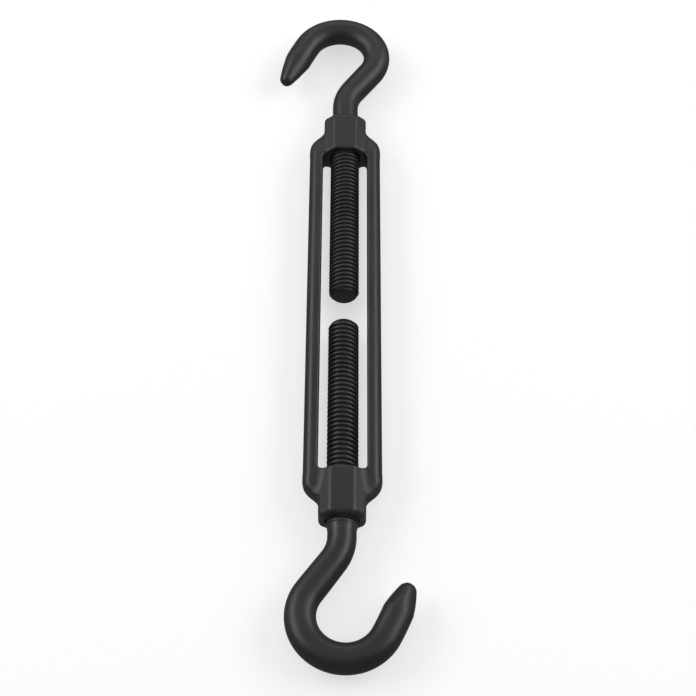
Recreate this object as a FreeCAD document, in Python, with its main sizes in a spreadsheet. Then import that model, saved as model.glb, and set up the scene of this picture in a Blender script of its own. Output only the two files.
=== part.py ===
import FreeCAD, Part
import math
import os

import Sketcher
from FreeCAD import Placement, Rotation, Vector

# Hook-and-hook turnbuckle for a 3/8-16 screw, drawn in millimetres.
# +Y runs along the screw axis, +Z is the body's face and X is its width.
# The origin is the middle of the body. The right-hand hook bolt is at +Y and
# the left-hand one at -Y. Both bolts are drawn pointing along +Y, and the
# left-hand one is then turned half a turn about Z.

SIZES = {
    # cast body
    "body_length": 152.4,
    "slot_length": 120.4,
    "slot_width": 14.6,
    "slot_corner_radius": 2.8,
    "frame_width": 23.3,
    "frame_depth": 7.4,
    "frame_edge_radius": 2.05,
    "shoulder_radius": 5.4,
    "shoulder_centre_reach": 62.0,
    "neck_radius": 1.6,
    "neck_width": 11.4,
    "neck_reach": 71.0,
    "hub_across_flats": 12.1,
    "hub_corner_radius": 1.5,
    "hub_end_radius": 1.3,
    "flare_length": 6.5,
    "flare_flat_width": 9.2,
    "flare_corner_span": 18.6,
    "flare_edge_radius": 1.5,
    "bore_diameter": 9.6,
    "bore_chamfer": 0.6,
    # screw thread, 3/8-16 with crests slightly worn down
    "thread_diameter": 9.45,
    "thread_pitch": 1.5875,
    "thread_depth": 0.92,
    "thread_root_width": 0.28,
    "thread_flank_angle": 30.0,
    "groove_overcut": 0.15,
    "thread_length": 72.2,
    "thread_runout": 0.5,
    "rod_chamfer": 1.1,
    # hook wire
    "wire_diameter": 8.7,
    "bend_angle": 35.2,
    "bend_radius": 13.6,
    "bowl_radius": 12.7,
    "bowl_end_angle": 153.0,
    "point_bend_radius": 100.0,
    "point_bend_angle": 4.6,
    "point_length": 9.5,
    "point_end_radius": 1.5,
    # right-hand bolt, along +Y
    "right_rod_end": 3.9,
    "right_bowl_offset": 1.95,
    "right_bowl_reach": 106.5,
    # left-hand bolt, along its own +Y before it is turned round
    "left_rod_end": 7.1,
    "left_bowl_offset": 1.2,
    "left_bowl_reach": 105.4,
}

ALONG_Z = Vector(0, 0, 1)
# widest miss, in millimetres, of a point that counts as lying on a plane
TOUCH = 0.01

# sketch geometry: the origin point, the horizontal axis and the vertical axis
ORIGIN = (-1, 1)
ACROSS = -1
ALONG = -2


def make_sheet(doc):
    """Put every driving dimension in a sheet, one aliased cell each."""
    sheet = doc.addObject("Spreadsheet::Sheet", "sizes")
    for row, (name, value) in enumerate(SIZES.items(), start=1):
        sheet.set(f"A{row}", name)
        sheet.set(f"B{row}", str(value))
        sheet.setAlias(f"B{row}", name)
    doc.recompute()
    return sheet


def size(sheet, name):
    return float(getattr(sheet, name))


# ---------------------------------------------------------------- sketches

def make_sketch(body, name, plane, offset=None):
    """Sketch on one of the body's own planes, moved along its normal by an expression."""
    sketch = body.newObject("Sketcher::SketchObject", name)
    support = next(item for item in body.Origin.OriginFeatures if item.Role == plane)
    sketch.AttachmentSupport = [(support, "")]
    sketch.MapMode = "FlatFace"
    if offset:
        sketch.setExpression("AttachmentOffset.Base.z", offset)
    return sketch


def bind(sketch, expression, *terms):
    """Add one dimension to a sketch and bind it to the sheet."""
    index = sketch.addConstraint(Sketcher.Constraint(*terms))
    sketch.setExpression(f"Constraints[{index}]", expression)


def link(sketch, first, second, kind="Tangent"):
    """Join the nearest ends of two curves, by a tangent or by a plain meeting point."""
    pairs = [(a, b) for a in (1, 2) for b in (1, 2)]

    def gap(pair):
        return sketch.getPoint(first, pair[0]).distanceToPoint(sketch.getPoint(second, pair[1]))

    near = min(pairs, key=gap)
    sketch.addConstraint(Sketcher.Constraint(kind, first, near[0], second, near[1]))


def add_lines(sketch, points):
    """Closed polygon of lines that meet at their ends."""
    lines = []
    for number, point in enumerate(points):
        following = points[(number + 1) % len(points)]
        lines.append(sketch.addGeometry(Part.LineSegment(point, following)))
    for number, line in enumerate(lines):
        following = lines[(number + 1) % len(lines)]
        sketch.addConstraint(Sketcher.Constraint("Coincident", line, 2, following, 1))
    return lines


def add_round_rectangle(sketch, width, length, radius):
    """Centred rectangle with round corners, its three sizes given as (value, expression)."""
    x = width[0] / 2
    y = length[0] / 2
    r = radius[0]
    centres = [(x - r, y - r), (r - x, y - r), (r - x, r - y), (x - r, r - y)]
    curves = []
    for number, (centre_x, centre_y) in enumerate(centres):
        circle = Part.Circle(Vector(centre_x, centre_y, 0), ALONG_Z, r)
        start = number * math.pi / 2
        arc = Part.ArcOfCircle(circle, start, start + math.pi / 2)
        curves.append(sketch.addGeometry(arc))
    sides = []
    for number, arc in enumerate(curves):
        following = curves[(number + 1) % 4]
        start = sketch.getPoint(arc, 2)
        finish = sketch.getPoint(following, 1)
        side = sketch.addGeometry(Part.LineSegment(start, finish))
        sides.append(side)
        link(sketch, arc, side)
        link(sketch, side, following)
        bind(sketch, radius[1], "Radius", arc, r)
    top, left, bottom, right = sides
    sketch.addConstraint(Sketcher.Constraint("Horizontal", top))
    sketch.addConstraint(Sketcher.Constraint("Vertical", left))
    sketch.addConstraint(Sketcher.Constraint("Symmetric", top, 2, bottom, 2, *ORIGIN))
    bind(sketch, width[1], "DistanceX", left, 1, right, 2, width[0])
    bind(sketch, length[1], "DistanceY", bottom, 1, top, 2, length[0])


def edges_where(shape, test):
    """Names of the edges whose ends and middle all pass the test."""
    names = []
    for number, edge in enumerate(shape.Edges, start=1):
        middle = edge.valueAt((edge.FirstParameter + edge.LastParameter) / 2)
        points = [vertex.Point for vertex in edge.Vertexes] + [middle]
        if all(test(point) for point in points):
            names.append(f"Edge{number}")
    return names


def round_edges(body, base, name, radius, test):
    """Fillet those edges of a body's feature that pass the test."""
    edges = edges_where(base.Shape, test)
    fillet = body.newObject("PartDesign::Fillet", name)
    fillet.Base = (base, edges)
    fillet.setExpression("Radius", radius)
    return fillet


# ---------------------------------------------------------------- cast body

def make_frame(doc, sheet):
    """The two rails with their rounded shoulders, as one ring of even depth."""
    body = doc.addObject("PartDesign::Body", "frame")
    sketch = make_sketch(body, "frame_outline", "XY_Plane")
    add_frame_outline(sketch, sheet)
    slot = [
        (size(sheet, name), f"sizes.{name}")
        for name in ("slot_width", "slot_length", "slot_corner_radius")
    ]
    add_round_rectangle(sketch, *slot)
    pad = body.newObject("PartDesign::Pad", "frame_depth")
    pad.Profile = sketch
    pad.SideType = "Symmetric"
    pad.setExpression("Length", "sizes.frame_depth")
    doc.recompute()
    face_height = size(sheet, "frame_depth") / 2
    round_edges(
        body, pad, "frame_edges", "sizes.frame_edge_radius",
        lambda point: abs(abs(point.z) - face_height) < TOUCH,
    )
    doc.recompute()
    return body


def add_frame_outline(sketch, sheet):
    """Outer outline: straight rails, convex shoulders, concave necks and square ends."""
    rail_x = size(sheet, "frame_width") / 2
    shoulder_r = size(sheet, "shoulder_radius")
    shoulder_x = rail_x - shoulder_r
    shoulder_y = size(sheet, "shoulder_centre_reach")
    neck_r = size(sheet, "neck_radius")
    neck_x = size(sheet, "neck_width") / 2
    end_y = size(sheet, "neck_reach")
    across = neck_x + neck_r - shoulder_x
    lean = math.asin(across / (shoulder_r + neck_r))
    neck_y = shoulder_y + (shoulder_r + neck_r) * math.cos(lean)

    rails = {}
    necks = {}
    for x_side in (1, -1):
        rail = Part.LineSegment(
            Vector(x_side * rail_x, -shoulder_y, 0), Vector(x_side * rail_x, shoulder_y, 0)
        )
        rails[x_side] = sketch.addGeometry(rail)
        sketch.addConstraint(Sketcher.Constraint("Vertical", rails[x_side]))
        for y_side in (1, -1):
            shoulder = add_arc_between(
                sketch, x_side, y_side, (shoulder_x, shoulder_y), shoulder_r,
                0, math.pi / 2 - lean,
            )
            neck = add_arc_between(
                sketch, x_side, y_side, (neck_x + neck_r, neck_y), neck_r,
                math.pi, 3 * math.pi / 2 - lean,
            )
            side = sketch.addGeometry(Part.LineSegment(
                Vector(x_side * neck_x, y_side * neck_y, 0),
                Vector(x_side * neck_x, y_side * end_y, 0),
            ))
            necks[x_side, y_side] = side
            link(sketch, rails[x_side], shoulder)
            link(sketch, shoulder, neck)
            link(sketch, neck, side)
            sketch.addConstraint(Sketcher.Constraint("Vertical", side))
            bind(sketch, "sizes.shoulder_radius", "Radius", shoulder, shoulder_r)
            bind(sketch, "sizes.neck_radius", "Radius", neck, neck_r)
    for y_side in (1, -1):
        end = sketch.addGeometry(Part.LineSegment(
            Vector(neck_x, y_side * end_y, 0), Vector(-neck_x, y_side * end_y, 0)
        ))
        for x_side in (1, -1):
            link(sketch, necks[x_side, y_side], end, "Coincident")
        sketch.addConstraint(Sketcher.Constraint("Symmetric", end, 1, end, 2, ALONG))
        bind(sketch, "sizes.neck_width", "DistanceX", end, 2, end, 1, 2 * neck_x)
        bind(
            sketch, f"{y_side} * sizes.neck_reach", "DistanceY", -1, 1, end, 1, y_side * end_y,
        )
    for x_side, rail in rails.items():
        bind(
            sketch, f"{x_side} * sizes.frame_width / 2",
            "DistanceX", -1, 1, rail, 1, x_side * rail_x,
        )
        for y_side, end_point in ((-1, 1), (1, 2)):
            bind(
                sketch, f"{y_side} * sizes.shoulder_centre_reach",
                "DistanceY", -1, 1, rail, end_point, y_side * shoulder_y,
            )


def add_arc_between(sketch, x_side, y_side, centre, radius, start, finish):
    """Arc drawn for the +X +Y corner and mirrored into the corner that is asked for."""
    angles = [start, (start + finish) / 2, finish]
    points = [
        Vector(
            x_side * (centre[0] + radius * math.cos(angle)),
            y_side * (centre[1] + radius * math.sin(angle)),
            0,
        )
        for angle in angles
    ]
    return sketch.addGeometry(Part.Arc(*points))


def make_flares(doc, sheet):
    """Wider roots of the hubs, where they spread into the shoulders, one mirrored from the other."""
    name = "left_flare"
    body = doc.addObject("PartDesign::Body", name)
    root = "sizes.slot_length / 2"
    sections = [
        ("root", root, "sizes.flare_flat_width", "sizes.flare_corner_span"),
        (
            "neck",
            f"({root} + sizes.flare_length)",
            "sizes.hub_across_flats * tan(30deg)",
            "sizes.hub_across_flats / cos(30deg)",
        ),
    ]
    depth = size(sheet, "hub_across_flats") / 2
    profiles = []
    for label, reach, flat_width, corner_span in sections:
        sketch = make_sketch(body, f"{name}_{label}", "XZ_Plane", reach)
        flat = sketch.evalExpression(flat_width) / 2
        corner = sketch.evalExpression(corner_span) / 2
        outline = [
            Vector(corner, 0, 0), Vector(flat, depth, 0), Vector(-flat, depth, 0),
            Vector(-corner, 0, 0), Vector(-flat, -depth, 0), Vector(flat, -depth, 0),
        ]
        lines = add_lines(sketch, outline)
        top, bottom = lines[1], lines[4]
        sketch.addConstraint(Sketcher.Constraint("Symmetric", top, 1, top, 2, ALONG))
        sketch.addConstraint(Sketcher.Constraint("Symmetric", top, 1, bottom, 1, *ORIGIN))
        sketch.addConstraint(Sketcher.Constraint("Symmetric", top, 2, bottom, 2, *ORIGIN))
        sketch.addConstraint(Sketcher.Constraint("Symmetric", lines[0], 1, lines[3], 1, *ORIGIN))
        sketch.addConstraint(Sketcher.Constraint("PointOnObject", lines[0], 1, ACROSS))
        bind(sketch, flat_width, "DistanceX", top, 2, top, 1, 2 * flat)
        bind(sketch, corner_span, "DistanceX", lines[3], 1, lines[0], 1, 2 * corner)
        bind(sketch, "sizes.hub_across_flats", "DistanceY", bottom, 1, top, 1, 2 * depth)
        profiles.append(sketch)
    loft = body.newObject("PartDesign::AdditiveLoft", f"{name}_loft")
    loft.Profile = profiles[0]
    loft.Sections = [profiles[1]]
    loft.Ruled = True
    doc.recompute()
    whole_length = size(sheet, "flare_length") - TOUCH

    def runs_along_a_flat(edge_points):
        lengthwise = abs(edge_points[0].y - edge_points[1].y) > whole_length
        return lengthwise and abs(edge_points[0].z) > depth - TOUCH

    edges = [
        f"Edge{number}" for number, edge in enumerate(loft.Shape.Edges, start=1)
        if runs_along_a_flat([vertex.Point for vertex in edge.Vertexes])
    ]
    fillet = body.newObject("PartDesign::Fillet", f"{name}_edges")
    fillet.Base = (loft, edges)
    fillet.setExpression("Radius", "sizes.flare_edge_radius")
    doc.recompute()
    mirrored = doc.addObject("Part::Mirroring", "right_flare")
    mirrored.Source = body
    mirrored.Normal = Vector(0, 1, 0)
    return body, mirrored


def round_part_edges(doc, base, name, radius, test):
    """Part fillet of the edges that pass the test."""
    numbers = [int(edge[4:]) for edge in edges_where(base.Shape, test)]
    fillet = doc.addObject("Part::Fillet", name)
    fillet.Base = base
    fillet.Edges = [(number, radius, radius) for number in numbers]
    doc.recompute()
    return fillet


def make_hubs(doc, sheet):
    """Both hubs, as the two ends of one hexagonal bar."""
    half_length = size(sheet, "body_length") / 2
    bar = doc.addObject("Part::Prism", "hub_bar")
    bar.Polygon = 6
    bar.setExpression("Circumradius", "sizes.hub_across_flats / 2 / cos(30deg)")
    bar.setExpression("Height", "sizes.body_length")
    bar.setExpression("Placement.Base.y", "sizes.body_length / 2")
    bar.Placement.Rotation = Rotation(Vector(1, 0, 0), 90)
    doc.recompute()
    corner_edges = [
        number for number, edge in enumerate(bar.Shape.Edges, start=1)
        if abs(edge.Vertexes[0].Point.y - edge.Vertexes[1].Point.y) > half_length
    ]
    corner_radius = size(sheet, "hub_corner_radius")
    rounded = doc.addObject("Part::Fillet", "hub_corners")
    rounded.Base = bar
    rounded.Edges = [(number, corner_radius, corner_radius) for number in corner_edges]
    doc.recompute()
    ends = round_part_edges(
        doc, rounded, "hub_ends", size(sheet, "hub_end_radius"),
        lambda point: abs(abs(point.y) - half_length) < TOUCH,
    )
    gap = doc.addObject("Part::Box", "slot_gap")
    gap.setExpression("Length", "2 * sizes.hub_across_flats")
    gap.setExpression("Height", "2 * sizes.hub_across_flats")
    gap.setExpression("Width", "sizes.slot_length")
    gap.setExpression("Placement.Base.x", "-sizes.hub_across_flats")
    gap.setExpression("Placement.Base.y", "-sizes.slot_length / 2")
    gap.setExpression("Placement.Base.z", "-sizes.hub_across_flats")
    hubs = doc.addObject("Part::Cut", "hubs")
    hubs.Base = ends
    hubs.Tool = gap
    doc.recompute()
    return hubs


def make_bore(doc):
    """Screw bore through both hubs, with a countersink at each end."""
    bore = doc.addObject("Part::Cylinder", "bore")
    bore.setExpression("Radius", "sizes.bore_diameter / 2")
    bore.setExpression("Height", "sizes.body_length + 2")
    bore.Placement.Rotation = Rotation(Vector(1, 0, 0), 90)
    bore.setExpression("Placement.Base.y", "sizes.body_length / 2 + 1")
    tools = [bore]
    for name, y_side, turn in (("right", 1, 90), ("left", -1, -90)):
        sink = doc.addObject("Part::Cone", f"{name}_countersink")
        sink.setExpression("Radius1", "sizes.bore_diameter / 2 + sizes.bore_chamfer")
        sink.setExpression("Radius2", "sizes.bore_diameter / 2")
        sink.setExpression("Height", "sizes.bore_chamfer")
        sink.Placement.Rotation = Rotation(Vector(1, 0, 0), turn)
        sink.setExpression("Placement.Base.y", f"{y_side} * sizes.body_length / 2")
        tools.append(sink)
    fused = doc.addObject("Part::MultiFuse", "bore_tools")
    fused.Shapes = tools
    doc.recompute()
    return fused


def make_turnbuckle_body(doc, sheet):
    casting = doc.addObject("Part::MultiFuse", "casting")
    casting.Shapes = [
        make_frame(doc, sheet),
        make_hubs(doc, sheet),
        *make_flares(doc, sheet),
    ]
    casting.Refine = True
    body = doc.addObject("Part::Cut", "turnbuckle_body")
    body.Label = "turnbuckle_body"
    body.Base = casting
    body.Tool = make_bore(doc)
    doc.recompute()
    return body


# ---------------------------------------------------------------- hook bolts

def hook_points(sheet, side):
    """Named points of one hook's centreline, worked out from the bend and the bowl."""
    bend = math.radians(size(sheet, "bend_angle"))
    bend_r = size(sheet, "bend_radius")
    bowl_r = size(sheet, "bowl_radius")
    bowl_end = math.radians(size(sheet, "bowl_end_angle"))
    point_r = size(sheet, "point_bend_radius")
    point_end = bowl_end + math.radians(size(sheet, "point_bend_angle"))
    bowl = Vector(-size(sheet, f"{side}_bowl_offset"), size(sheet, f"{side}_bowl_reach"), 0)
    lean_end = bowl + Vector(math.cos(bend), -math.sin(bend), 0) * bowl_r
    lean_start_x = bend_r * (1 - math.cos(bend))
    lean_length = (lean_end.x - lean_start_x) / math.sin(bend)
    lean_start = lean_end - Vector(math.sin(bend), math.cos(bend), 0) * lean_length
    shank_end = Vector(0, lean_start.y - bend_r * math.sin(bend), 0)
    bowl_exit = Vector(math.cos(bowl_end), math.sin(bowl_end), 0)
    point_centre = bowl + bowl_exit * (bowl_r - point_r)
    return {
        "shank_end": shank_end,
        "bend_centre": shank_end + Vector(bend_r, 0, 0),
        "lean_start": lean_start,
        "lean_end": lean_end,
        "bowl": bowl,
        "point_centre": point_centre,
        "point_start": point_centre
        + Vector(math.cos(point_end), math.sin(point_end), 0) * point_r,
        "point_heading": Vector(-math.sin(point_end), math.cos(point_end), 0),
    }


def add_rod(doc, sheet, body, side):
    """Threaded rod and the start of the plain shank, turned about the screw axis."""
    start = size(sheet, f"{side}_rod_end")
    chamfer = size(sheet, "rod_chamfer")
    rod_r = size(sheet, "thread_diameter") / 2
    wire_r = size(sheet, "wire_diameter") / 2
    runout = size(sheet, "thread_runout")
    thread_end = start + size(sheet, "thread_length")
    shank_end = hook_points(sheet, side)["shank_end"].y
    outline = [
        Vector(0, start, 0), Vector(rod_r - chamfer, start, 0), Vector(rod_r, start + chamfer, 0),
        Vector(rod_r, thread_end, 0), Vector(wire_r, thread_end + runout, 0),
        Vector(wire_r, shank_end, 0), Vector(0, shank_end, 0),
    ]
    sketch = make_sketch(body, f"{side}_rod_outline", "XY_Plane")
    end, bevel, crest, slope, shank, top, axis = add_lines(sketch, outline)
    for line in (end, top):
        sketch.addConstraint(Sketcher.Constraint("Horizontal", line))
    for line in (crest, shank, axis):
        sketch.addConstraint(Sketcher.Constraint("Vertical", line))
    sketch.addConstraint(Sketcher.Constraint("PointOnObject", axis, 1, ALONG))
    heights = [
        (end, 1, start, f"sizes.{side}_rod_end"),
        (bevel, 2, start + chamfer, f"sizes.{side}_rod_end + sizes.rod_chamfer"),
        (crest, 2, thread_end, f"sizes.{side}_rod_end + sizes.thread_length"),
        (
            slope, 2, thread_end + runout,
            f"sizes.{side}_rod_end + sizes.thread_length + sizes.thread_runout",
        ),
    ]
    for line, point, value, expression in heights:
        bind(sketch, expression, "DistanceY", -1, 1, line, point, value)
    widths = [
        (end, 2, rod_r - chamfer, "sizes.thread_diameter / 2 - sizes.rod_chamfer"),
        (crest, 2, rod_r, "sizes.thread_diameter / 2"),
        (shank, 2, wire_r, "sizes.wire_diameter / 2"),
    ]
    for line, point, value, expression in widths:
        bind(sketch, expression, "DistanceX", -1, 1, line, point, value)
    sketch.addConstraint(Sketcher.Constraint("DistanceY", -1, 1, shank, 2, shank_end))
    rod = body.newObject("PartDesign::Revolution", f"{side}_rod")
    rod.Profile = sketch
    rod.ReferenceAxis = (sketch, ["V_Axis"])
    rod.Angle = 360
    doc.recompute()


def add_thread(doc, sheet, body, side, left_handed):
    """Cut the thread as one groove of its real pitch and depth along a helix."""
    pitch = size(sheet, "thread_pitch")
    crest_r = size(sheet, "thread_diameter") / 2
    depth = size(sheet, "thread_depth")
    root_half = size(sheet, "thread_root_width") / 2
    overcut = size(sheet, "groove_overcut")
    flank_angle = math.radians(size(sheet, "thread_flank_angle"))
    mouth_half = root_half + (depth + overcut) * math.tan(flank_angle)
    level = size(sheet, f"{side}_rod_end") - pitch
    root_x = crest_r - depth
    mouth_x = crest_r + overcut
    outline = [
        Vector(root_x, level - root_half, 0), Vector(mouth_x, level - mouth_half, 0),
        Vector(mouth_x, level + mouth_half, 0), Vector(root_x, level + root_half, 0),
    ]
    sketch = make_sketch(body, f"{side}_thread_groove", "XY_Plane")
    flank, mouth, _, root = add_lines(sketch, outline)
    for line in (mouth, root):
        sketch.addConstraint(Sketcher.Constraint("Vertical", line))
    sketch.addConstraint(Sketcher.Constraint("Equal", flank, 2))
    bind(
        sketch, "sizes.thread_diameter / 2 - sizes.thread_depth",
        "DistanceX", -1, 1, root, 1, root_x,
    )
    bind(sketch, "sizes.thread_root_width", "DistanceY", root, 2, root, 1, 2 * root_half)
    sketch.addConstraint(Sketcher.Constraint("DistanceX", root, 1, mouth, 1, mouth_x - root_x))
    sketch.addConstraint(Sketcher.Constraint("DistanceY", mouth, 1, mouth, 2, 2 * mouth_half))
    bind(
        sketch, f"sizes.{side}_rod_end - sizes.thread_pitch - sizes.thread_root_width / 2",
        "DistanceY", -1, 1, root, 2, level - root_half,
    )
    helix = body.newObject("PartDesign::SubtractiveHelix", f"{side}_thread")
    helix.Profile = sketch
    helix.ReferenceAxis = (sketch, ["V_Axis"])
    helix.Mode = "pitch-height-angle"
    helix.setExpression("Pitch", "sizes.thread_pitch")
    helix.setExpression("Height", "sizes.thread_length + sizes.thread_pitch")
    helix.LeftHanded = left_handed
    helix.Reversed = False
    doc.recompute()


def add_hook(doc, sheet, body, side):
    """Hook wire, swept round its bends, with a tapered point turned about its own axis."""
    at = hook_points(sheet, side)
    bend = math.radians(size(sheet, "bend_angle"))
    bowl_end = math.radians(size(sheet, "bowl_end_angle"))
    point_end = bowl_end + math.radians(size(sheet, "point_bend_angle"))
    wire_r = size(sheet, "wire_diameter") / 2

    path = make_sketch(body, f"{side}_hook_path", "XY_Plane")
    bend_circle = Part.Circle(at["bend_centre"], ALONG_Z, size(sheet, "bend_radius"))
    bowl_circle = Part.Circle(at["bowl"], ALONG_Z, size(sheet, "bowl_radius"))
    point_circle = Part.Circle(at["point_centre"], ALONG_Z, size(sheet, "point_bend_radius"))
    bend_arc = path.addGeometry(Part.ArcOfCircle(bend_circle, math.pi - bend, math.pi))
    lean = path.addGeometry(Part.LineSegment(at["lean_start"], at["lean_end"]))
    bowl_arc = path.addGeometry(Part.ArcOfCircle(bowl_circle, -bend, bowl_end))
    point_arc = path.addGeometry(Part.ArcOfCircle(point_circle, bowl_end, point_end))
    link(path, bend_arc, lean)
    link(path, lean, bowl_arc)
    link(path, bowl_arc, point_arc)
    bind(path, "sizes.bend_radius", "Radius", bend_arc, size(sheet, "bend_radius"))
    bind(path, "sizes.bowl_radius", "Radius", bowl_arc, size(sheet, "bowl_radius"))
    bind(path, "sizes.point_bend_radius", "Radius", point_arc, size(sheet, "point_bend_radius"))
    bind(
        path, f"-sizes.{side}_bowl_offset", "DistanceX", -1, 1, bowl_arc, 3, at["bowl"].x,
    )
    bind(
        path, f"sizes.{side}_bowl_reach", "DistanceY", -1, 1, bowl_arc, 3, at["bowl"].y,
    )

    section = make_sketch(body, f"{side}_wire_section", "XZ_Plane")
    section.AttachmentOffset = Placement(Vector(0, 0, -at["shank_end"].y), Rotation())
    circle = section.addGeometry(Part.Circle(Vector(0, 0, 0), ALONG_Z, wire_r))
    section.addConstraint(Sketcher.Constraint("Coincident", circle, 3, *ORIGIN))
    bind(section, "sizes.wire_diameter", "Diameter", circle, 2 * wire_r)
    wire = body.newObject("PartDesign::AdditivePipe", f"{side}_hook_wire")
    wire.Profile = section
    wire.Spine = path
    doc.recompute()
    add_point(doc, sheet, body, side, at)


def add_point(doc, sheet, body, side, at):
    """Tapered point with a ball end, on the line where the wire's centreline leaves off."""
    wire_r = size(sheet, "wire_diameter") / 2
    end_r = size(sheet, "point_end_radius")
    length = size(sheet, "point_length")
    forward = at["point_heading"]
    outward = Vector(-forward.y, forward.x, 0)
    ball = length - end_r
    lean = math.asin((wire_r - end_r) / ball)

    def place(along, out):
        return at["point_start"] + forward * along + outward * out

    ball_touch = place(ball + end_r * math.sin(lean), end_r * math.cos(lean))
    ball_middle = place(
        ball + end_r * math.sin((lean + math.pi / 2) / 2),
        end_r * math.cos((lean + math.pi / 2) / 2),
    )
    sketch = make_sketch(body, f"{side}_point_outline", "XY_Plane")
    axis = sketch.addGeometry(Part.LineSegment(place(0, 0), place(length, 0)))
    ball_arc = sketch.addGeometry(Part.Arc(place(length, 0), ball_middle, ball_touch))
    taper = sketch.addGeometry(Part.LineSegment(ball_touch, place(0, wire_r)))
    base = sketch.addGeometry(Part.LineSegment(place(0, wire_r), place(0, 0)))
    for first, second in ((axis, ball_arc), (ball_arc, taper), (taper, base), (base, axis)):
        link(sketch, first, second, "Coincident")
    bind(sketch, "sizes.wire_diameter / 2", "Distance", base, wire_r)
    bind(sketch, "sizes.point_length", "Distance", axis, length)
    bind(sketch, "sizes.point_end_radius", "Radius", ball_arc, end_r)
    sketch.addConstraint(Sketcher.Constraint("Perpendicular", base, axis))
    point = body.newObject("PartDesign::Revolution", f"{side}_point")
    point.Profile = sketch
    point.ReferenceAxis = (sketch, [f"Edge{axis + 1}"])
    point.Angle = 360
    doc.recompute()


def make_hook_bolt(doc, sheet, side, left_handed):
    name = f"{side}_hand_hook_bolt"
    body = doc.addObject("PartDesign::Body", name)
    body.Label = name
    add_rod(doc, sheet, body, side)
    add_thread(doc, sheet, body, side, left_handed)
    add_hook(doc, sheet, body, side)
    if left_handed:
        body.Placement = Placement(Vector(0, 0, 0), Rotation(ALONG_Z, 180))
    doc.recompute()
    return body


# ---------------------------------------------------------------- check and export

def check_document(doc, pieces):
    """Stop if any object failed or any piece is not one valid solid."""
    for item in doc.Objects:
        if "Invalid" in item.State or "Error" in item.State:
            raise RuntimeError(f"{item.Label} failed: {item.State}")
    for piece in pieces:
        shape = piece.Shape
        if shape.isNull() or not shape.isValid() or len(shape.Solids) != 1:
            raise RuntimeError(f"{piece.Label} is not one valid solid")


def main():
    doc = FreeCAD.newDocument("turnbuckle")
    sheet = make_sheet(doc)
    pieces = [
        make_turnbuckle_body(doc, sheet),
        make_hook_bolt(doc, sheet, "right", False),
        make_hook_bolt(doc, sheet, "left", True),
    ]
    doc.recompute()
    check_document(doc, pieces)
    os.makedirs("parts", exist_ok=True)
    for piece in pieces:
        piece.Shape.exportStep(f"parts/{piece.Label}.step")
        box = piece.Shape.BoundBox
        print(piece.Label, round(piece.Shape.Volume, 1), box)


main()
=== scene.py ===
import math

import bmesh
import bpy
import numpy as np
from bpy.props import FloatProperty, FloatVectorProperty, IntProperty, PointerProperty
from bpy.types import Operator, Panel, PropertyGroup
from mathutils import Matrix, Vector


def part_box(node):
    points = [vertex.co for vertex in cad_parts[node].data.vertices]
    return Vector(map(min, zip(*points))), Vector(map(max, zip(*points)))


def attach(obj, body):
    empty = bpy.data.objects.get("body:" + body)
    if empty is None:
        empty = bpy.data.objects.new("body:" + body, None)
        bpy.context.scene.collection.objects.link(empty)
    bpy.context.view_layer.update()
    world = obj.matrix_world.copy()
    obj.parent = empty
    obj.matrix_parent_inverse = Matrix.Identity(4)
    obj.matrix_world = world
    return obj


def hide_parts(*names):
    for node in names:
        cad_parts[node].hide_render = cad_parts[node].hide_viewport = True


bl_info = {
    "name": "Hook and Hook Turnbuckle",
    "version": (1, 0, 0),
    "blender": (4, 5, 0),
    "location": "View3D > Sidebar > Turnbuckle",
    "description": "Builds a turnbuckle's cast body and its two hook bolts around a fixed frame",
    "category": "Add Mesh",
}

# Lengths are in metres. +Y runs along the screws to the right-hand hook, +Z is the body's
# upper face and X is its width.

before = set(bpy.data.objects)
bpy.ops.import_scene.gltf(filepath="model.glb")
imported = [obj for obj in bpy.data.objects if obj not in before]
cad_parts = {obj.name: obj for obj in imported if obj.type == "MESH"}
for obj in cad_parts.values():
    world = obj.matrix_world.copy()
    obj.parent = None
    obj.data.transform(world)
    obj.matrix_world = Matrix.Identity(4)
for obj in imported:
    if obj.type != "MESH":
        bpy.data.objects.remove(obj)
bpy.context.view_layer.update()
BODY_LOW, BODY_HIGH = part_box("turnbuckle_body")

MM = 0.001
TURN = 2 * math.pi
ROWS_PER_TURN = 12
THREAD_FLANK = math.radians(30)
RING_SPACING = 0.55 * MM
LINES_ALONG = 40
LINES_AROUND = 9.0
CORNER_EASE = (-0.035, 0.0, 0.035)
MERGE = 0.002 * MM
MARK_REACH = 0.5 * MM
FLOOR_HALF = 1.5


# ------------------------------------------------------------------ sizes and colours

def length(name, description, default):
    """Property in metres."""
    return FloatProperty(name=name, description=description, default=default, unit="LENGTH")


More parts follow.
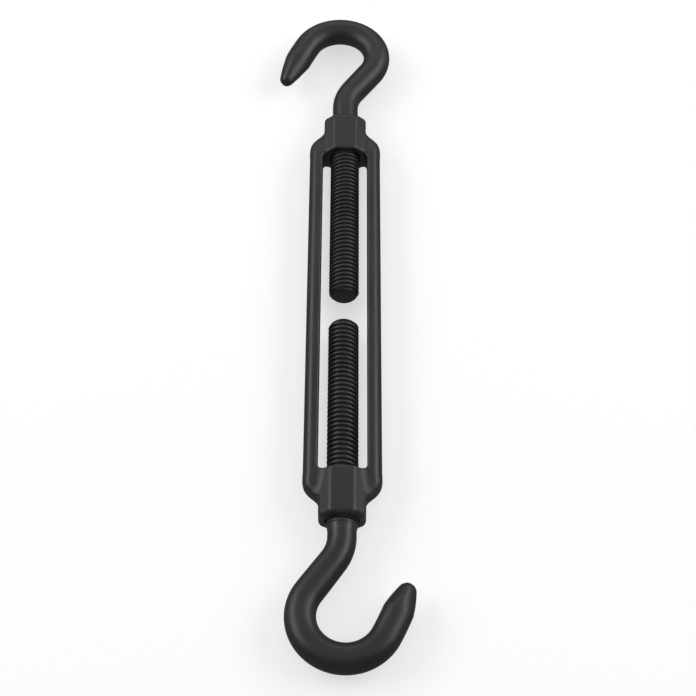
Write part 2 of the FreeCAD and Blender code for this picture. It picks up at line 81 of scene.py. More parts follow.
class BodySizes(PropertyGroup):
    hub_length: length("Hub length", "Length of each tapped end of the body", 15.8 * MM)
    slot_corner: length("Slot corner", "Radius in plan of the slot's corners", 2.0 * MM)
    rail_width: length("Rail width", "Width of each rail across the slot", 4.35 * MM)
    rail_depth: length("Rail depth", "Depth of the rails from face to face", 7.4 * MM)
    rail_crown: length("Rail crown", "Radius of the rails' outer edges", 3.1 * MM)
    rail_edge: length("Rail edge", "Radius of the rails' edges along the slot", 0.7 * MM)
    shoulder_crown: length("Shoulder crown", "Radius of those edges at the shoulders", 1.9 * MM)
    shoulder_fall: length("Shoulder fall", "How much lower the shoulders' faces lie", 0.8 * MM)
    shoulder_reach: length("Shoulder reach", "Where shoulders meet hubs along Y", 68.9 * MM)
    shoulder_slope: FloatProperty(
        name="Shoulder slope", description="Lean of the shoulders' ends",
        default=math.radians(24), subtype="ANGLE",
    )
    shoulder_radius: length("Shoulder radius", "Radius in plan of each shoulder", 5.4 * MM)
    flare_start: length("Flare start", "How far from the slot the flare is full", 3.0 * MM)
    flare_length: length("Flare length", "How far from the slot the flare ends", 9.5 * MM)
    flank_lean: FloatProperty(
        name="Flank lean", description="Slope of the hub's flanks from the upright",
        default=math.radians(51), subtype="ANGLE",
    )
    hub_flank: length("Hub flank", "Distance of the hub's flanks from the screw", 6.87 * MM)
    hub_side: length("Hub side", "Distance of the hub's upright sides from the screw", 6.95 * MM)
    hub_edge: length("Hub edge", "Radius between the hub's flats and flanks", 2.0 * MM)
    side_edge: length("Side edge", "Radius between the hub's flanks and sides", 1.6 * MM)
    hub_end: length("Hub end", "Radius round the hub's outer end", 2.0 * MM)
    hub_mouth: length("Hub mouth", "Radius round the hub's end at the slot", 0.6 * MM)
    root_blend: length("Root blend", "Radius of the fillet from hub to shoulders", 1.0 * MM)
    bore_radius: length("Bore radius", "Radius of the screw bore", 4.8 * MM)
    bore_mouth: length("Bore mouth", "Radius of the rounding at the bore's mouth", 0.55 * MM)
    mesh_step: length("Mesh step", "Size of the mesh's faces", 0.36 * MM)


class ScrewSizes(PropertyGroup):
    crest_radius: length("Crest radius", "Radius over the thread's crests", 4.72 * MM)
    depth: length("Depth", "Depth of the coated thread", 0.8 * MM)
    pitch: length("Pitch", "Distance between turns of the thread", 1.5875 * MM)
    root_width: length("Root width", "Width of the flat at the thread's root", 0.2 * MM)
    thread_length: length("Thread length", "Length of the thread along the rod", 72.2 * MM)
    runout: length("Run-out", "Length over which the thread fades into the shank", 0.5 * MM)
    end_chamfer: length("End chamfer", "Chamfer round the rod's end", 1.1 * MM)
    segments: IntProperty(name="Segments", description="Faces round the rod", default=80, min=24)


class HookSizes(PropertyGroup):
    shank_radius: length("Shank radius", "Radius of the plain shank by the thread", 4.24 * MM)
    wire_width: length("Wire width", "Half the wire's width in the plane of the hook", 4.5 * MM)
    wire_thickness: length("Wire thickness", "Half the wire's thickness across it", 4.2 * MM)
    bend_angle: FloatProperty(
        name="Bend angle", description="Lean of the wire between shank and bowl",
        default=math.radians(35.2), subtype="ANGLE",
    )
    bend_radius: length("Bend radius", "Radius of the bend next to the shank", 13.6 * MM)
    bowl_radius: length("Bowl radius", "Radius of the bowl's centreline", 12.7 * MM)
    bowl_end: FloatProperty(
        name="Bowl end", description="Direction from the bowl's centre in which the bowl ends",
        default=math.radians(153), subtype="ANGLE",
    )
    point_bend: length("Point bend", "Radius of the last gentle bend before the point", 100.0 * MM)
    point_turn: FloatProperty(
        name="Point turn", description="Angle turned in that last bend",
        default=math.radians(4.6), subtype="ANGLE",
    )
    right_point: length("Right point", "Length of the right-hand hook's point", 11.8 * MM)
    left_point: length("Left point", "Length of the left-hand hook's point", 9.2 * MM)
    point_start: FloatProperty(
        name="Point start", description="How gently the taper of the point begins",
        default=0.5, min=0, max=1,
    )
    point_radius: length("Point radius", "Radius of the point's blunt end", 1.85 * MM)
    point_bluntness: FloatProperty(
        name="Point bluntness", description="2 ends the point in a ball, more in a flatter end",
        default=2.6, min=2,
    )
    point_section: FloatProperty(
        name="Point section", description="2 is round, and less is squared with a ridge on top",
        default=1.55, min=1, max=2,
    )
    wire_cad: length("Frame wire radius", "Radius of the hook's wire in the fixed frame", 4.35 * MM)


class CoatingLooks(PropertyGroup):
    body_colour: FloatVectorProperty(
        name="Body colour", description="Coating on the cast body", subtype="COLOR",
        size=3, min=0, max=1, default=(0.0170, 0.0170, 0.0148),
    )
    hook_colour: FloatVectorProperty(
        name="Hook colour", description="Coating on the hook bolts", subtype="COLOR",
        size=3, min=0, max=1, default=(0.0165, 0.0165, 0.0143),
    )
    roughness: FloatProperty(
        name="Roughness", description="Mean roughness of the coating", default=0.42,
        min=0, max=1, subtype="FACTOR",
    )
    # Painted highlight: edges and thread crests are coloured lighter than the coat.
    thin_coat: FloatProperty(
        name="Thin coat", description="Colour of worn edges, as a share of the coat's",
        default=1.75, min=0,
    )
    # Painted shade: hollows and thread roots are coloured darker than the coat.
    grime: FloatProperty(
        name="Grime", description="Colour of dirty hollows, as a share of the coat's",
        default=0.62, min=0,
    )
    cloud_scale: FloatProperty(
        name="Cloud scale", description="How many clouds of the coat fit in a metre",
        default=55.0, min=0,
    )
    rough_spread: FloatProperty(
        name="Roughness spread", description="How far the roughness strays from its mean",
        default=0.05, min=0,
    )
    drawn_lines: FloatProperty(
        name="Drawn lines", description="Height of the lines drawn out along the wires",
        default=0.8, min=0,
    )


class StageLooks(PropertyGroup):
    floor_colour: FloatVectorProperty(
        name="Floor colour", description="Pale floor under the turnbuckle", subtype="COLOR",
        size=3, min=0, max=1, default=(0.45, 0.45, 0.445),
    )
    floor_glow: FloatProperty(
        name="Floor glow", description="Light from the lit table under the turnbuckle",
        default=0.62, min=0,
    )
    camera_tilt: FloatProperty(
        name="Camera tilt", description="Angle between the line of sight and the vertical",
        default=math.radians(34), subtype="ANGLE",
    )
    camera_target: FloatVectorProperty(
        name="Camera target", description="Point that the camera looks at", size=3,
        default=(0.0014, -0.0156, 0.0), subtype="TRANSLATION", unit="LENGTH",
    )
    camera_distance: length("Camera distance", "Distance from camera to target", 507 * MM)
    camera_roll: FloatProperty(
        name="Camera roll", description="Turn of the camera about its line of sight",
        default=math.radians(0.35), subtype="ANGLE",
    )
    lens: FloatProperty(name="Lens", description="Focal length in millimetres", default=85.1)


# ------------------------------------------------------------------ shapes as distances

def round_join(a, b, radius):
    """Distance to two shapes joined with a fillet between them."""
    corner = np.hypot(np.maximum(radius - a, 0), np.maximum(radius - b, 0))
    return np.maximum(radius, np.minimum(a, b)) - corner


def round_meet(a, b, radius):
    """Distance to what two shapes share, with their common edge rounded."""
    corner = np.hypot(np.maximum(radius + a, 0), np.maximum(radius + b, 0))
    return np.minimum(-radius, np.maximum(a, b)) + corner


def round_corner(a, b, radius, spread):
    """Distance to what two flat sides share, rounded; spread is the angle between their normals."""
    half = np.asarray(spread) / 2
    outward = (a + b) / (2 * np.cos(half)) + radius / np.cos(half)
    sideways = (a - b) / (2 * np.sin(half))
    arc = np.hypot(outward, sideways) - radius
    return np.where(np.abs(sideways) < outward * np.tan(half), arc, np.maximum(a, b))


def round_rectangle(x, y, half_x, half_y, radius):
    """Distance in plan to a rectangle with round corners."""
    across = np.abs(x) - half_x + radius
    along = np.abs(y) - half_y + radius
    outside = np.hypot(np.maximum(across, 0), np.maximum(along, 0))
    return outside + np.minimum(np.maximum(across, along), 0) - radius


def ease(values, start, finish):
    """Smooth step from 0 at start to 1 at finish."""
    share = np.clip((values - start) / (finish - start), 0, 1)
    return share * share * (3 - 2 * share)


def body_distance(points, sizes):
    """Signed distance from points to the cast body, negative inside it."""
    x, y, z = points
    half_width = BODY_HIGH.x
    half_length = BODY_HIGH.y
    half_depth = BODY_HIGH.z
    slot_end = half_length - sizes.hub_length
    reach = np.abs(y)
    slope = sizes.shoulder_slope
    shoulder = (np.abs(x) - half_depth) * math.sin(slope)
    shoulder = shoulder + (reach - sizes.shoulder_reach) * math.cos(slope)
    outline = round_corner(
        np.abs(x) - half_width, shoulder, sizes.shoulder_radius, TURN / 4 - slope
    )
    slot = round_rectangle(x, y, half_width - sizes.rail_width, slot_end, sizes.slot_corner)
    outward = ease(reach, slot_end, sizes.shoulder_reach)
    half_rail = sizes.rail_depth / 2 - sizes.shoulder_fall * outward
    crown = sizes.rail_crown - (sizes.rail_crown - sizes.shoulder_crown) * outward
    rails = round_meet(outline, np.abs(z) - half_rail, crown)
    rails = round_meet(rails, -slot, sizes.rail_edge)

    flare = 1 - ease(reach, slot_end + sizes.flare_start, slot_end + sizes.flare_length)
    lean = sizes.flank_lean
    flank = np.abs(x) * math.cos(lean) + np.abs(z) * math.sin(lean) - sizes.hub_flank
    face = round_corner(flank, np.abs(z) - half_depth, sizes.hub_edge, TURN / 4 - lean)
    side = np.abs(x) - sizes.hub_side - flare * sizes.hub_side
    section = round_corner(face, side, sizes.side_edge, lean)
    hub = round_meet(section, reach - half_length, sizes.hub_end)
    hub = round_meet(hub, slot_end - reach, sizes.hub_mouth)

    casting = round_join(rails, hub, sizes.root_blend)
    bore = sizes.bore_radius - np.hypot(x, z)
    return round_meet(casting, bore, sizes.bore_mouth)


def surface_net(distance, low, high, step):
    """Quads wrapped round the zero level of a distance, then drawn exactly onto it."""
    axes = [np.arange(a - 1.5 * step, b + 2.5 * step, step) for a, b in zip(low, high)]
    grid = np.meshgrid(*axes, indexing="ij")
    field = distance(grid)
    inside = field < 0
    cells = [n - 1 for n in field.shape]
    total = np.zeros((*cells, 3))
    count = np.zeros(cells)
    crossings = []
    for axis in range(3):
        first = [slice(None)] * 3
        second = [slice(None)] * 3
        first[axis] = slice(None, -1)
        second[axis] = slice(1, None)
        first, second = tuple(first), tuple(second)
        crossed = np.argwhere(inside[first] != inside[second])
        near = field[first][tuple(crossed.T)]
        far = field[second][tuple(crossed.T)]
        place = crossed.astype(float)
        place[:, axis] += near / (near - far)
        crossings.append((axis, crossed))
        others = [a for a in range(3) if a != axis]
        for shift_a in (0, 1):
            for shift_b in (0, 1):
                cell = crossed.copy()
                cell[:, others[0]] -= shift_a
                cell[:, others[1]] -= shift_b
                np.add.at(total, tuple(cell.T), place)
                np.add.at(count, tuple(cell.T), 1)
    used = count > 0
    number = np.full(cells, -1)
    number[used] = np.arange(used.sum())
    origin = np.array([a[0] for a in axes])
    points = total[used] / count[used][:, None] * step + origin
    quads = []
    for axis, crossed in crossings:
        others = [a for a in range(3) if a != axis]
        ring = []
        for shift_a, shift_b in ((0, 0), (1, 0), (1, 1), (0, 1)):
            cell = crossed.copy()
            cell[:, others[0]] -= shift_a
            cell[:, others[1]] -= shift_b
            ring.append(number[tuple(cell.T)])
        quads.append(np.stack(ring, axis=1))
    return draw_onto(distance, points, step), np.concatenate(quads).tolist()


def draw_onto(distance, points, step):
    """Move points along the distance's slope until they lie on its zero level."""
    nudge = 0.05 * step
    for _ in range(3):
        here = distance(points.T)
        slope = np.stack([
            distance((points + nudge * np.eye(3)[axis]).T) - here for axis in range(3)
        ], axis=1) / nudge
        steep = np.maximum((slope * slope).sum(axis=1), 0.25)
        points = points - slope * np.clip(here, -step, step)[:, None] / steep[:, None]
    return points


def add_piece(name, points, faces, body, node, marks):
    """Closed smooth mesh that rides on a body and stands for a node of the frame."""
    mesh = bpy.data.meshes.new(name)
    mesh.from_pydata(points.tolist(), [], faces)
    for mark, values in marks.items():
        values = np.asarray(values, dtype=np.float32)
        kind, field = ("FLOAT", "value") if values.ndim == 1 else ("FLOAT_VECTOR", "vector")
        mesh.attributes.new(mark, kind, "POINT").data.foreach_set(field, values.ravel())
    work = bmesh.new()
    work.from_mesh(mesh)
    bmesh.ops.remove_doubles(work, verts=work.verts, dist=MERGE)
    bmesh.ops.dissolve_degenerate(work, edges=work.edges, dist=MERGE)
    bmesh.ops.recalc_face_normals(work, faces=work.faces)
    open_edges = [edge for edge in work.edges if len(edge.link_faces) != 2]
    if open_edges:
        raise RuntimeError(f"{name} has {len(open_edges)} edges that don't join two faces")
    work.to_mesh(mesh)
    work.free()
    mesh.shade_smooth()
    piece = bpy.data.objects.new(name, mesh)
    bpy.context.scene.collection.objects.link(piece)
    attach(piece, body)
    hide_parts(node)
    return piece


# ------------------------------------------------------------------ hook bolts

def hook_centreline(hook, bowl, point):
    """Straight and round stretches of the wire from the end of the thread to the point."""
    bend = hook.bend_angle
    lean_end = bowl + Vector((math.cos(bend), -math.sin(bend))) * hook.bowl_radius
    heading = Vector((math.sin(bend), math.cos(bend)))
    bent_x = hook.bend_radius * (1 - math.cos(bend))
    lean_start = lean_end - heading * ((lean_end.x - bent_x) / math.sin(bend))
    shank_end = Vector((0, lean_start.y - hook.bend_radius * math.sin(bend)))
    return [
        ("straight", shank_end.y),
        ("round", hook.bend_radius, -bend),
        ("straight", (lean_end - lean_start).length),
        ("round", hook.bowl_radius, bend + hook.bowl_end),
        ("round", hook.point_bend, hook.point_turn),
        ("straight", point),
    ]


def walk(stretches, start, spacing):
    """Places and headings along the stretches, from a start on the Y axis."""
    place = Vector((0, start))
    heading = math.pi / 2
    stations = [(place.copy(), heading, 0.0)]
    travelled = 0.0
    for kind, *terms in stretches:
        if kind == "straight":
            run = terms[0]
            turn = 0.0
        else:
            run = terms[0] * abs(terms[1])
            turn = terms[1]
        steps = max(1, round(run / spacing))
        for _ in range(steps):
            half_turn = turn / steps / 2
            chord = run / steps
            if turn:
                chord = 2 * terms[0] * math.sin(abs(half_turn))
            heading += half_turn
            place = place + Vector((math.cos(heading), math.sin(heading))) * chord
            heading += half_turn
            travelled += run / steps
            stations.append((place.copy(), heading, travelled))
    return stations


def thread_depth_at(phase, screw):
    """Depth of the thread at a share of its pitch, with the corners eased by the coating."""
    depth = np.zeros_like(phase)
    for shift in CORNER_EASE:
        away = np.abs((phase + shift) % 1 - 0.5) * screw.pitch
        flank = (away - screw.root_width / 2) / math.tan(THREAD_FLANK)
        depth += np.clip(screw.depth - flank, 0, screw.depth) / len(CORNER_EASE)
    return depth


def threaded_rod(screw, hook, start, left_handed):
    """Helical mesh of the thread between two level rings, and its share of depth at each point."""
    turns = math.ceil(screw.thread_length / screw.pitch) + 2
    segments = screw.segments
    rows = np.arange((turns + 1) * ROWS_PER_TURN)
    angles = np.arange(segments) * TURN / segments
    hand = 1 if left_handed else -1
    level = (rows[:, None] / ROWS_PER_TURN - 1) * screw.pitch
    level = level + hand * (angles[None, :] / TURN - (hand + 1) / 2) * screw.pitch
    phase = np.broadcast_to((rows % ROWS_PER_TURN / ROWS_PER_TURN)[:, None], level.shape)
    finish = screw.thread_length + screw.runout
    along = np.clip(level, 0, finish)
    left = (screw.thread_length - along) / screw.pitch
    fade = ease(left, 0.5, 1.6)
    cut = thread_depth_at(phase, screw) * fade
    radius = screw.crest_radius - cut
    chamfer = screw.crest_radius - screw.end_chamfer + along
    radius = np.minimum(radius, chamfer)
    ramp = 1 - ease(left, 0.1, 1.5)
    radius = radius * (1 - ramp) + hook.shank_radius * ramp
    points = np.stack([
        radius * np.cos(angles)[None, :], start + along, radius * np.sin(angles)[None, :],
    ], axis=2)
    faces = []
    row_shift = ROWS_PER_TURN * hand
    for row in range(len(rows) - 1):
        for column in range(segments):
            following = column + 1
            shift = 0
            if following == segments:
                following = 0
                shift = row_shift
            low = row + shift
            if not 0 <= low < len(rows) - 1:
                continue
            faces.append((
                row * segments + column, low * segments + following,
                (low + 1) * segments + following, (row + 1) * segments + column,
            ))
    return points.reshape(-1, 3), faces, (cut / screw.depth).reshape(-1)


def wire_section(travelled, lengths, hook, angles):
    """Radii round the wire at a distance along it: round shank, oval bowl, squared point."""
    before_point = sum(lengths[:-1])
    thicken = ease(travelled, lengths[0] * 0.5, lengths[0] + lengths[1] + lengths[2])
    half_width = hook.shank_radius + (hook.wire_width - hook.shank_radius) * thicken
    half_thickness = hook.shank_radius + (hook.wire_thickness - hook.shank_radius) * thicken
    taper = np.clip((travelled - before_point) / lengths[-1], 0, 1)
    squaring = ease(travelled, before_point - 2 * MM, before_point + 5 * MM)
    squareness = 2 - (2 - hook.point_section) * squaring
    slimming = taper - hook.point_start * taper * (1 - taper)
    narrow = 1 - (1 - hook.point_radius / hook.wire_width) * slimming
    ball = hook.point_radius / lengths[-1]
    blunt = np.clip((taper - 1 + ball) / ball, 0, 1)
    narrow = narrow * math.sqrt(max(1 - blunt ** hook.point_bluntness, 0))
    across = np.abs(np.cos(angles) / half_width) ** squareness
    through = np.abs(np.sin(angles) / half_thickness) ** squareness
    return narrow * (across + through) ** (-1 / squareness)


def hook_rings(hook, bowl, point, start, angles):
    """Rings of points round the wire, from the end of the thread to the tip of the hook."""
    stretches = hook_centreline(hook, bowl, point)
    stretches[0] = ("straight", stretches[0][1] - start)
    lengths = [
        terms[0] if kind == "straight" else terms[0] * abs(terms[1])
        for kind, *terms in stretches
    ]
    rings = []
    for place, heading, travelled in walk(stretches, start, RING_SPACING):
        radius = wire_section(travelled, lengths, hook, angles)
        if travelled == 0:
            radius = np.full_like(angles, hook.shank_radius)
        side = (math.sin(heading), -math.cos(heading))
        rings.append(np.stack([
            place.x + radius * np.cos(angles) * side[0],
            place.y + radius * np.cos(angles) * side[1],
            radius * np.sin(angles),
        ], axis=1))
    return np.array(rings)


def ring_faces(ring_count, segments, first):
    """Quads between neighbouring rings of points."""
    faces = []
    for ring in range(ring_count - 1):
        for column in range(segments):
            low = first + ring * segments
            following = (column + 1) % segments
            faces.append((
                low + column, low + following,
                low + segments + following, low + segments + column,
            ))
    return faces


def hook_bolt_mesh(screw, hook, bowl, rod_end, left_handed):
    """Points, faces and thread marks of one whole bolt, drawn along +Y."""
    points, faces, cut = threaded_rod(screw, hook, rod_end, left_handed)
    segments = screw.segments
    angles = np.arange(segments) * TURN / segments
    hook_start = rod_end + screw.thread_length + screw.runout
    end_radius = screw.crest_radius - screw.end_chamfer
    shares = (1.0, 0.94, 0.7, 0.4, 0.15)
    disc = np.array([
        np.stack([
            end_radius * share * np.cos(angles),
            np.full(segments, rod_end),
            end_radius * share * np.sin(angles),
        ], axis=1)
        for share in shares
    ])
    point = hook.left_point if left_handed else hook.right_point
    rings = hook_rings(hook, bowl, point, hook_start, angles)
    for group in (disc, rings):
        first = len(points)
        points = np.concatenate([points, group.reshape(-1, 3)])
        faces += ring_faces(len(group), segments, first)
        centre = group[-1].mean(axis=0)
        last = first + (len(group) - 1) * segments
        points = np.concatenate([points, centre[None, :]])
        for column in range(segments):
            following = (column + 1) % segments
            faces.append((last + column, last + following, len(points) - 1))
    wire = wire_marks(points, rings, len(cut), screw)
    # Painted shade in the thread roots and a painted highlight on the thread crests.
    hollow = np.concatenate([cut, np.zeros(len(points) - len(cut))])
    edge = np.concatenate([crest_marks(cut), np.zeros(len(points) - len(cut))])
    return points, faces, {"hollow": hollow * 0.1, "edge": edge, "wire": wire}


def crest_marks(cut):
    """Crests of the thread, where nothing of its depth is cut, which get a painted highlight."""
    return ease(-cut, -0.25, 0.0)


def wire_marks(points, rings, thread_count, screw):
    """Coordinates that run along the wire, for lines drawn out along it."""
    segments = screw.segments
    angles = np.arange(segments) * TURN / segments
    around = np.stack([np.cos(angles), np.sin(angles)], axis=1) * LINES_AROUND
    wire = np.zeros((len(points), 3))
    wire[:, 2] = points[:, 1] * LINES_ALONG
    ring_rows = len(rings)
    first = len(points) - ring_rows * segments - 1
    for start, rows in ((0, thread_count // segments), (first, ring_rows)):
        wire[start:start + rows * segments, :2] = np.tile(around, (rows, 1))
    steps = np.repeat(np.arange(ring_rows), segments) * RING_SPACING * LINES_ALONG
    wire[first:first + ring_rows * segments, 2] = steps
    return wire


# ------------------------------------------------------------------ finishes

def shader_group(name, inputs, outputs):
    """Empty shader node group with named value or colour sockets."""
    group = bpy.data.node_groups.new(name, "ShaderNodeTree")
    kinds = {"value": "NodeSocketFloat", "colour": "NodeSocketColor"}
    for direction, sockets in (("INPUT", inputs), ("OUTPUT", outputs)):
        for socket_name, kind in sockets:
            group.interface.new_socket(
                name=socket_name, in_out=direction, socket_type=kinds[kind]
            )
    return group, group.nodes.new("NodeGroupInput"), group.nodes.new("NodeGroupOutput")


def add_node(tree, kind, settings=None, **sockets):
    """Node with its settings made and its sockets set to values or linked to other sockets."""
    node = tree.nodes.new(kind)
    for setting, value in (settings or {}).items():
        setattr(node, setting, value)
    for name, value in sockets.items():
        socket = node.inputs[int(name[1:]) if name[0] == "_" else name.replace("_", " ")]
        if isinstance(value, bpy.types.NodeSocket):
            tree.links.new(value, socket)
        else:
            socket.default_value = value
    return node


def sum_of(tree, first, second, operation="ADD"):
    """Two values added, or joined by another operation."""
    return add_node(
        tree, "ShaderNodeMath", {"operation": operation}, _0=first, _1=second
    ).outputs[0]


def spread(tree, value, low, high, to_low, to_high):
    """Value moved from one range to another and held inside it."""
    node = add_node(
        tree, "ShaderNodeMapRange", {"interpolation_type": "SMOOTHSTEP"},
        Value=value, From_Min=low, From_Max=high, To_Min=to_low, To_Max=to_high,
    )
    return node.outputs["Result"]


def make_coat_grain():
    """Orange peel, fine grain and clouding of a baked-on coating."""
    group, given, result = shader_group(
        "Coat grain",
        [("Peel scale", "value"), ("Grain scale", "value"), ("Cloud scale", "value")],
        [("Height", "value"), ("Cloud", "value"), ("Speck", "value")],
    )
    place = add_node(group, "ShaderNodeTexCoord").outputs["Object"]
    noises = {}
    for socket_name, detail in (("Peel scale", 1.0), ("Grain scale", 2.0), ("Cloud scale", 3.0)):
        noise = add_node(
            group, "ShaderNodeTexNoise", Vector=place, Scale=given.outputs[socket_name],
            Detail=detail, Roughness=0.55,
        )
        noises[socket_name] = noise.outputs["Fac"]
    grain = sum_of(group, noises["Grain scale"], 0.35, "MULTIPLY")
    height = sum_of(group, noises["Peel scale"], grain)
    group.links.new(height, result.inputs["Height"])
    group.links.new(noises["Cloud scale"], result.inputs["Cloud"])
    speck = spread(group, noises["Grain scale"], 0.60, 0.72, 0.0, 1.0)
    group.links.new(speck, result.inputs["Speck"])
    return group


def make_painted_light_marks():
    """Painted highlight on edges and thread crests and painted shade in hollows and thread roots,
    broken up by a noise.
    """
    group, given, result = shader_group(
        "Painted light marks",
        [("Coat", "colour"), ("Thin coat", "colour"), ("Grime", "colour"),
         ("Edge", "value"), ("Hollow", "value"), ("Cloud", "value")],
        [("Colour", "colour"), ("Highlit", "value")],
    )
    broken = spread(group, given.outputs["Cloud"], 0.38, 0.62, 0.35, 1.0)
    # Painted highlight: edges and thread crests take the lighter colour.
    highlit = sum_of(group, given.outputs["Edge"], broken, "MULTIPLY")
    highlighted = add_node(
        group, "ShaderNodeMix", {"data_type": "RGBA"},
        _0=highlit, _6=given.outputs["Coat"], _7=given.outputs["Thin coat"],
    ).outputs[2]
    # Painted shade: hollows and thread roots take the darker colour.
    shaded = sum_of(group, given.outputs["Hollow"], broken, "MULTIPLY")
    colour = add_node(
        group, "ShaderNodeMix", {"data_type": "RGBA"},
        _0=shaded, _6=highlighted, _7=given.outputs["Grime"],
    ).outputs[2]
    group.links.new(colour, result.inputs["Colour"])
    group.links.new(highlit, result.inputs["Highlit"])
    return group


def place_group(tree, group, **sockets):
    """Shared group placed in a material with its own values."""
    return add_node(tree, "ShaderNodeGroup", {"node_tree": group}, **sockets)


def mark_value(tree, name):
    """Value stored on the mesh's vertices."""
    return add_node(
        tree, "ShaderNodeAttribute", {"attribute_type": "GEOMETRY", "attribute_name": name}
    ).outputs["Fac"]


def coated_steel(name, colour, looks, groups, peel, grain, bump, drawn=False):
    """Satin black coating over steel, with a painted highlight on edges and painted shade in
    hollows from the marks that its mesh carries.
    """
    material = bpy.data.materials.new(name)
    material.use_nodes = True
    tree = material.node_tree
    shader = tree.nodes["Principled BSDF"]
    coat_grain, painted_light_marks = groups
    texture = place_group(
        tree, coat_grain, Peel_scale=peel, Grain_scale=grain, Cloud_scale=looks.cloud_scale
    )
    # Darker colour for painted shade in hollows and lighter colour for a painted highlight on
    # edges.
    dark = [looks.grime * part for part in colour]
    highlight_colour = [min(1.0, looks.thin_coat * part) for part in colour]
    edge_and_hollow_light = place_group(
        tree, painted_light_marks, Coat=(*colour, 1), Thin_coat=(*highlight_colour, 1), Grime=(*dark, 1),
        Edge=mark_value(tree, "edge"), Hollow=mark_value(tree, "hollow"),
        Cloud=texture.outputs["Cloud"],
    )
    shade = spread(tree, texture.outputs["Cloud"], 0.3, 0.7, 0.86, 1.12)
    speck = sum_of(tree, texture.outputs["Speck"], 0.25, "MULTIPLY")
    shade = sum_of(tree, shade, speck)
    tinted = add_node(
        tree, "ShaderNodeVectorMath", {"operation": "SCALE"},
        _0=edge_and_hollow_light.outputs["Colour"], Scale=shade,
    ).outputs[0]
    tree.links.new(tinted, shader.inputs["Base Color"])
    rough = spread(
        tree, texture.outputs["Cloud"], 0.3, 0.7,
        looks.roughness - looks.rough_spread, looks.roughness + looks.rough_spread,
    )
    rough = sum_of(tree, rough, sum_of(tree, edge_and_hollow_light.outputs["Highlit"], -0.06, "MULTIPLY"))
    tree.links.new(rough, shader.inputs["Roughness"])
    height = texture.outputs["Height"]
    if drawn:
        along = add_node(
            tree, "ShaderNodeAttribute", {"attribute_type": "GEOMETRY", "attribute_name": "wire"}
        ).outputs["Vector"]
        lines = add_node(
            tree, "ShaderNodeTexNoise", Vector=along, Scale=1.0, Detail=2.0
        ).outputs["Fac"]
        height = sum_of(tree, height, sum_of(tree, lines, looks.drawn_lines, "MULTIPLY"))
    relief = add_node(tree, "ShaderNodeBump", Strength=1.0, Distance=bump, Height=height)
    tree.links.new(relief.outputs["Normal"], shader.inputs["Normal"])
    shader.inputs["Metallic"].default_value = 0.0
    shader.inputs["IOR"].default_value = 1.5
    return material


def body_marks(points, sizes):
    """How sharp an edge or hollow the cast body has at each point, from 0 to 1, for the painted
    highlight on edges and the painted shade in hollows.
    """
    bend = -6 * body_distance(points.T, sizes)
    for axis in range(3):
        for side in (-MARK_REACH, MARK_REACH):
            moved = points.T.copy()
            moved[axis] += side
            bend += body_distance(moved, sizes)
    bend = bend / MARK_REACH ** 2 * MM
    return {
        "edge": ease(bend, 0.35, 1.1),
        "hollow": ease(-bend, 0.15, 0.9),
    }


# ------------------------------------------------------------------ operators

class TURNBUCKLE_OT_cast_body(Operator):
    """Cast body: two rails, flared hexagonal hubs and the screw bores"""

    bl_idname = "turnbuckle.cast_body"
    bl_label = "Cast Body"

    def execute(self, context):
        sizes = context.scene.turnbuckle_body
        points, faces = surface_net(
            lambda grid: body_distance(grid, sizes), BODY_LOW, BODY_HIGH, sizes.mesh_step
        )
        piece = add_piece(
            "cast_body", points, faces, "body", "turnbuckle_body",
            body_marks(points, sizes),
        )
        looks = context.scene.turnbuckle_coating
        piece.data.materials.append(coated_steel(
            "cast body coating", looks.body_colour, looks, coating_groups(),
            peel=650.0, grain=2600.0, bump=0.035 * MM,
        ))
        return {"FINISHED"}


class TURNBUCKLE_OT_hook_bolts(Operator):
    """Two hook bolts, one with a right-hand thread and one with a left-hand thread"""

    bl_idname = "turnbuckle.hook_bolts"
    bl_label = "Hook Bolts"

    def execute(self, context):
        screw = context.scene.turnbuckle_screw
        hook = context.scene.turnbuckle_hook
        looks = context.scene.turnbuckle_coating
        material = coated_steel(
            "hook bolt coating", looks.hook_colour, looks, coating_groups(),
            peel=800.0, grain=3200.0, bump=0.02 * MM, drawn=True,
        )
        for hand in ("right", "left"):
            left_handed = hand == "left"
            node = f"{hand}_hand_hook_bolt"
            low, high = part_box(node)
            if left_handed:
                low, high = -high, -low
            bowl = Vector((
                high.x - hook.bowl_radius - hook.wire_cad,
                high.y - hook.bowl_radius - hook.wire_cad,
            ))
            points, faces, marks = hook_bolt_mesh(screw, hook, bowl, low.y, left_handed)
            if left_handed:
                points = points * (-1, -1, 1)
            piece = add_piece(
                f"{hand}_hand_hook", points, faces, f"{hand}_hook", node, marks,
            )
            piece.data.materials.append(material)
        return {"FINISHED"}


class TURNBUCKLE_OT_stage(Operator):
    """Pale floor, soft lights and the camera"""

    bl_idname = "turnbuckle.stage"
    bl_label = "Stage"

    def execute(self, context):
        looks = context.scene.turnbuckle_stage
        add_floor(looks)
        add_lights()
        add_camera(looks)
        context.scene.view_settings.view_transform = "Standard"
        return {"FINISHED"}


def coating_groups():
    """The two shared groups, made once."""
    groups = bpy.data.node_groups
    return (
        groups.get("Coat grain") or make_coat_grain(),
        groups.get("Painted light marks") or make_painted_light_marks(),
    )


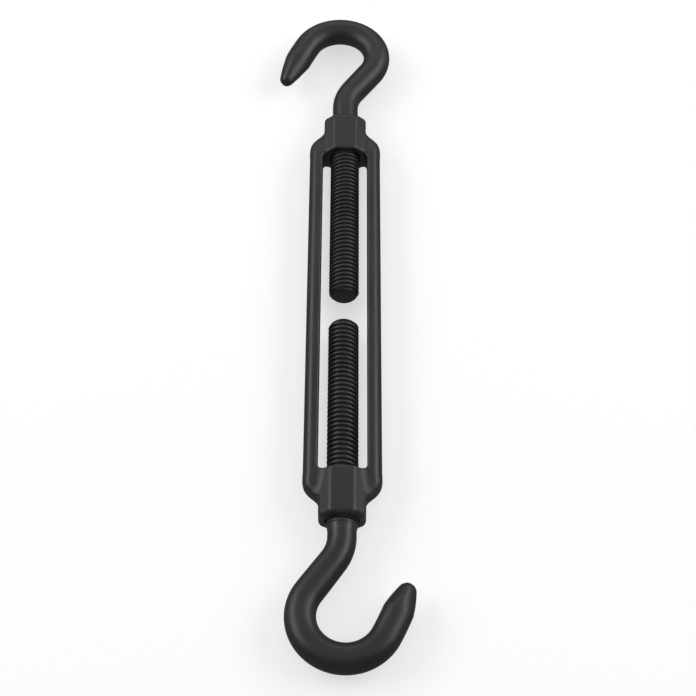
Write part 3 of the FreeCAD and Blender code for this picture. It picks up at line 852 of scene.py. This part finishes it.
def add_floor(looks):
    """Pale matt table, lit softly from below, that stays out of reflections."""
    mesh = bpy.data.meshes.new("floor")
    corners = [(-1, -1), (1, -1), (1, 1), (-1, 1)]
    points = [(x * FLOOR_HALF, y * FLOOR_HALF, BODY_LOW.z) for x, y in corners]
    mesh.from_pydata(points, [], [(0, 1, 2, 3)])
    floor = bpy.data.objects.new("floor", mesh)
    bpy.context.scene.collection.objects.link(floor)
    material = bpy.data.materials.new("floor paper")
    material.use_nodes = True
    shader = material.node_tree.nodes["Principled BSDF"]
    shader.inputs["Base Color"].default_value = (*looks.floor_colour, 1)
    shader.inputs["Roughness"].default_value = 0.9
    shader.inputs["Specular IOR Level"].default_value = 0.1
    shader.inputs["Emission Color"].default_value = (1, 1, 0.99, 1)
    shader.inputs["Emission Strength"].default_value = looks.floor_glow
    mesh.materials.append(material)
    floor.visible_glossy = False


def add_lights():
    """World light and soft panels, each as place, target, size and power."""
    world = bpy.data.worlds.new("studio")
    bpy.context.scene.world = world
    world.use_nodes = True
    background = world.node_tree.nodes["Background"]
    background.inputs["Color"].default_value = (1, 1, 1, 1)
    background.inputs["Strength"].default_value = 0.15
    panels = {
        "left panel": ((-0.85, 0.35, 0.62), (0.0, 0.35, 0.0), (1.2, 0.5), 6.8),
        "right panel": ((0.85, 0.35, 0.62), (0.0, 0.35, 0.0), (1.2, 0.5), 6.8),
        "back panel": ((0.0, 1.1, 0.7), (0.0, 0.0, 0.0), (0.9, 0.5), 1.9),
        "overhead panel": ((0.0, 0.0, 1.3), (0.0, 0.0, 0.0), (1.6, 1.6), 2.9),
    }
    for name, (place, target, size, power) in panels.items():
        light = bpy.data.lights.new(name, "AREA")
        light.shape = "RECTANGLE"
        light.size, light.size_y = size
        light.energy = power
        lamp = bpy.data.objects.new(name, light)
        bpy.context.scene.collection.objects.link(lamp)
        lamp.location = place
        lamp.rotation_euler = (Vector(place) - Vector(target)).to_track_quat("Z", "Y").to_euler()


def add_camera(looks):
    """Camera over the near hook, tilted from the vertical towards the far one."""
    data = bpy.data.cameras.new("camera")
    data.lens = looks.lens
    data.sensor_width = 36.0
    camera = bpy.data.objects.new("camera", data)
    bpy.context.scene.collection.objects.link(camera)
    tilt = looks.camera_tilt
    target = Vector(looks.camera_target)
    back = Vector((0, -math.sin(tilt), math.cos(tilt)))
    turn = Matrix.Rotation(tilt, 4, "X") @ Matrix.Rotation(looks.camera_roll, 4, "Z")
    camera.matrix_world = Matrix.Translation(target + back * looks.camera_distance) @ turn
    bpy.context.scene.camera = camera


class VIEW3D_PT_turnbuckle(Panel):
    """Sizes, finishes and build steps of the turnbuckle"""

    bl_idname = "VIEW3D_PT_turnbuckle"
    bl_label = "Turnbuckle"
    bl_space_type = "VIEW_3D"
    bl_region_type = "UI"
    bl_category = "Turnbuckle"

    def draw(self, context):
        for step in STEPS:
            self.layout.operator(step.bl_idname)
        for name, group in GROUPS.items():
            box = self.layout.box()
            for size in group.__annotations__:
                box.prop(getattr(context.scene, name), size)


GROUPS = {
    "turnbuckle_body": BodySizes,
    "turnbuckle_screw": ScrewSizes,
    "turnbuckle_hook": HookSizes,
    "turnbuckle_coating": CoatingLooks,
    "turnbuckle_stage": StageLooks,
}
STEPS = (TURNBUCKLE_OT_cast_body, TURNBUCKLE_OT_hook_bolts, TURNBUCKLE_OT_stage)


def register():
    for item in (*GROUPS.values(), *STEPS, VIEW3D_PT_turnbuckle):
        bpy.utils.register_class(item)
    for name, group in GROUPS.items():
        setattr(bpy.types.Scene, name, PointerProperty(type=group))


def unregister():
    for name in GROUPS:
        delattr(bpy.types.Scene, name)
    for item in reversed((*GROUPS.values(), *STEPS, VIEW3D_PT_turnbuckle)):
        bpy.utils.unregister_class(item)


def main():
    register()
    bpy.ops.turnbuckle.cast_body()
    bpy.ops.turnbuckle.hook_bolts()
    bpy.ops.turnbuckle.stage()


if __name__ == "__main__":
    main()
